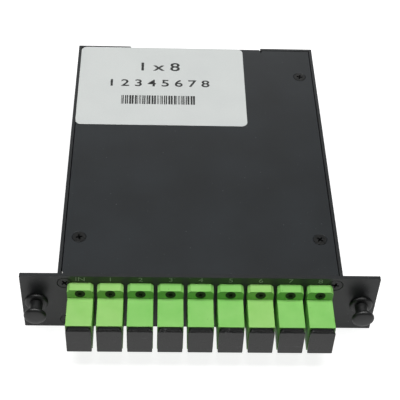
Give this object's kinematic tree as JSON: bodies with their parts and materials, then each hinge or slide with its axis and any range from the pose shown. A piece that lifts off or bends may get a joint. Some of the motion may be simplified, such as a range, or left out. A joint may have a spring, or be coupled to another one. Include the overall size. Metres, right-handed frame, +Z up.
{
  "type": "plc fibre splitter",
  "caption": "Plug-in optical fibre splitter cassette: black folded steel case, front plate with push-pull latches and green angled-polish SC ports under black dust caps.",
  "frame": {"origin": "middle of the bounding box's bottom face, on the surface the case rests on", "axes": "+X to the right seen from the ports, +Y from the ports to the rear, +Z up"},
  "size_m": [0.13, 0.1504, 0.029],
  "materials": {
    "case_paint": "semi-matt black powder coat",
    "adapter_green": "satin moulded plastic",
    "cap_black": "matt moulded plastic",
    "latch_black": "smooth moulded nylon",
    "screw_black": "black oxide steel",
    "bracket_zinc": "zinc-plated steel",
    "label_paper": "coated label film",
    "ceramic": "polished zirconia",
    "boot_green": "soft moulded boot",
    "fibre_white": "tight-buffered fibre jacket",
    "module_steel": "drawn steel tube",
    "end_plug_black": "moulded sealing plug",
    "chip_glass": "polished silica",
    "foam_tape": "double-sided foam tape"
  },
  "bodies": {
    "housing": {"base_tray": "case_paint", "lid": "case_paint", "lid_brackets": "bracket_zinc", "front_plate": "case_paint", "label": "label_paper", "lid_screws": "screw_black", "plate_screws": "screw_black", "adapter_screws": "screw_black", "adapter_nuts": "bracket_zinc", "alignment_sleeves": "ceramic", "connector_boots": "boot_green", "ferrules": "ceramic", "module_tube": "module_steel", "module_end_plugs": "end_plug_black", "splitter_chip": "chip_glass", "mounting_tape": "foam_tape", "grommet_left": "latch_black", "grommet_right": "latch_black", "adapter_in": "adapter_green", "connector_in": "adapter_green", "fibre_in": "fibre_white", "adapter_1": "adapter_green", "connector_1": "adapter_green", "fibre_1": "fibre_white", "adapter_2": "adapter_green", "connector_2": "adapter_green", "fibre_2": "fibre_white", "adapter_3": "adapter_green", "connector_3": "adapter_green", "fibre_3": "fibre_white", "adapter_4": "adapter_green", "connector_4": "adapter_green", "fibre_4": "fibre_white", "adapter_5": "adapter_green", "connector_5": "adapter_green", "fibre_5": "fibre_white", "adapter_6": "adapter_green", "connector_6": "adapter_green", "fibre_6": "fibre_white", "adapter_7": "adapter_green", "connector_7": "adapter_green", "fibre_7": "fibre_white", "adapter_8": "adapter_green", "connector_8": "adapter_green", "fibre_8": "fibre_white"},
    "dust_cap_in": {"dust_cap_in": "cap_black"},
    "dust_cap_1": {"dust_cap_1": "cap_black"},
    "dust_cap_2": {"dust_cap_2": "cap_black"},
    "dust_cap_3": {"dust_cap_3": "cap_black"},
    "dust_cap_4": {"dust_cap_4": "cap_black"},
    "dust_cap_5": {"dust_cap_5": "cap_black"},
    "dust_cap_6": {"dust_cap_6": "cap_black"},
    "dust_cap_7": {"dust_cap_7": "cap_black"},
    "dust_cap_8": {"dust_cap_8": "cap_black"},
    "plunger_left": {"plunger_left": "latch_black"},
    "plunger_right": {"plunger_right": "latch_black"}
  },
  "joints": [
    {"name": "cap_in_pull", "type": "slide", "parent": "housing", "child": "dust_cap_in", "axis": [0, -1, 0], "range_m": [0, 0.02]},
    {"name": "cap_1_pull", "type": "slide", "parent": "housing", "child": "dust_cap_1", "axis": [0, -1, 0], "range_m": [0, 0.02]},
    {"name": "cap_2_pull", "type": "slide", "parent": "housing", "child": "dust_cap_2", "axis": [0, -1, 0], "range_m": [0, 0.02]},
    {"name": "cap_3_pull", "type": "slide", "parent": "housing", "child": "dust_cap_3", "axis": [0, -1, 0], "range_m": [0, 0.02]},
    {"name": "cap_4_pull", "type": "slide", "parent": "housing", "child": "dust_cap_4", "axis": [0, -1, 0], "range_m": [0, 0.02]},
    {"name": "cap_5_pull", "type": "slide", "parent": "housing", "child": "dust_cap_5", "axis": [0, -1, 0], "range_m": [0, 0.02]},
    {"name": "cap_6_pull", "type": "slide", "parent": "housing", "child": "dust_cap_6", "axis": [0, -1, 0], "range_m": [0, 0.02]},
    {"name": "cap_7_pull", "type": "slide", "parent": "housing", "child": "dust_cap_7", "axis": [0, -1, 0], "range_m": [0, 0.02]},
    {"name": "cap_8_pull", "type": "slide", "parent": "housing", "child": "dust_cap_8", "axis": [0, -1, 0], "range_m": [0, 0.02]},
    {"name": "latch_left_push", "type": "slide", "parent": "housing", "child": "plunger_left", "axis": [0, 1, 0], "range_m": [0, 0.0042]},
    {"name": "latch_right_push", "type": "slide", "parent": "housing", "child": "plunger_right", "axis": [0, 1, 0], "range_m": [0, 0.0042]}
  ]
}
